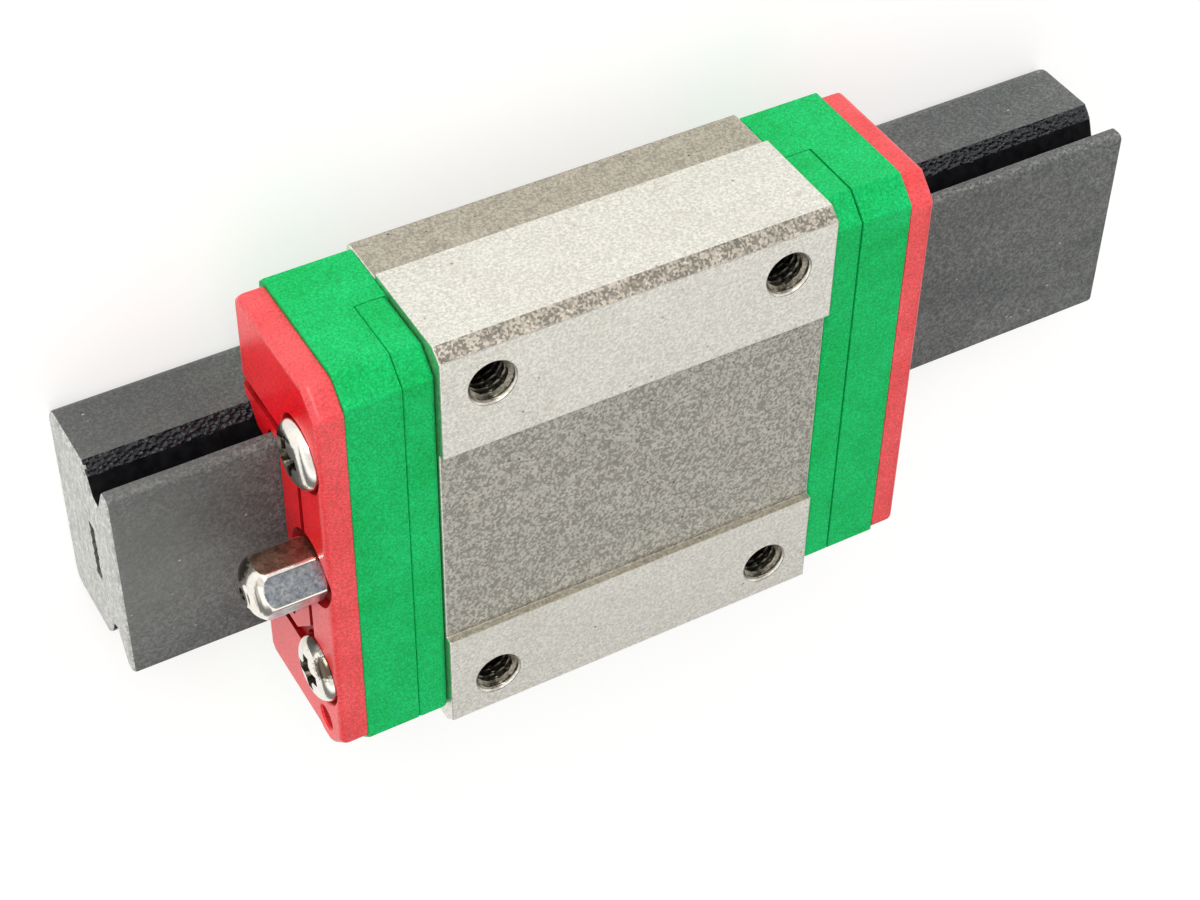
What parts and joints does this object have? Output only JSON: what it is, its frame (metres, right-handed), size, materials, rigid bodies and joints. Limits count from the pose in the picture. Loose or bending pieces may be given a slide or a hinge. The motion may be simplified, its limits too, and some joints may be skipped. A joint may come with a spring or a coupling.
{
  "type": "linear guide carriage",
  "caption": "Miniature recirculating-ball carriage with plastic end caps, wiper seals, a grease nipple and a plastic transport rail through its slot.",
  "frame": {"origin": "on the plane of the rail's seat, on the centreline, at the middle of the carriage's length", "axes": "+X along the rail towards the grease nipple, +Y across the carriage, +Z out of the mounting face"},
  "size_m": [0.0729, 0.032, 0.016],
  "materials": {
    "ground_steel": "ground lands and sides, darker unground recess, foot band and chamfers",
    "green_plastic": "moulded, fine even grain",
    "red_seal": "moulded, satin",
    "nickel_plate": "bright nickel plate with a faint warm tarnish",
    "white_plastic": "natural moulded plastic",
    "ball_steel": "polished bearing steel",
    "black_plastic": "extruded charcoal plastic with fine scratches and a rough groove wall"
  },
  "bodies": {
    "carriage": {"steel_block": "ground_steel", "front_end_cap": "green_plastic", "rear_end_cap": "green_plastic", "front_return_guide": "green_plastic", "rear_return_guide": "green_plastic", "front_end_seal": "red_seal", "rear_end_seal": "red_seal", "front_left_screw": "nickel_plate", "front_right_screw": "nickel_plate", "rear_left_screw": "nickel_plate", "rear_right_screw": "nickel_plate", "left_return_tube": "white_plastic", "right_return_tube": "white_plastic", "left_ball_circuit": "ball_steel", "right_ball_circuit": "ball_steel", "left_retainer_wire": "ball_steel", "right_retainer_wire": "ball_steel", "nipple_body": "nickel_plate", "nipple_spring": "ball_steel", "rear_port_plug": "nickel_plate"},
    "transport_rail": {"dummy_rail": "black_plastic"},
    "check_ball": {"nipple_check_ball": "ball_steel"}
  },
  "joints": [
    {"name": "rail_slide", "type": "slide", "parent": "carriage", "child": "transport_rail", "axis": [1, 0, 0], "range_m": [-0.055, 0.065]},
    {"name": "nipple_valve", "type": "slide", "parent": "carriage", "child": "check_ball", "axis": [-1, 0, 0], "range_m": [0, 0.0006], "stiffness_N_per_m": 30, "deforming": ["nipple_spring"]}
  ]
}
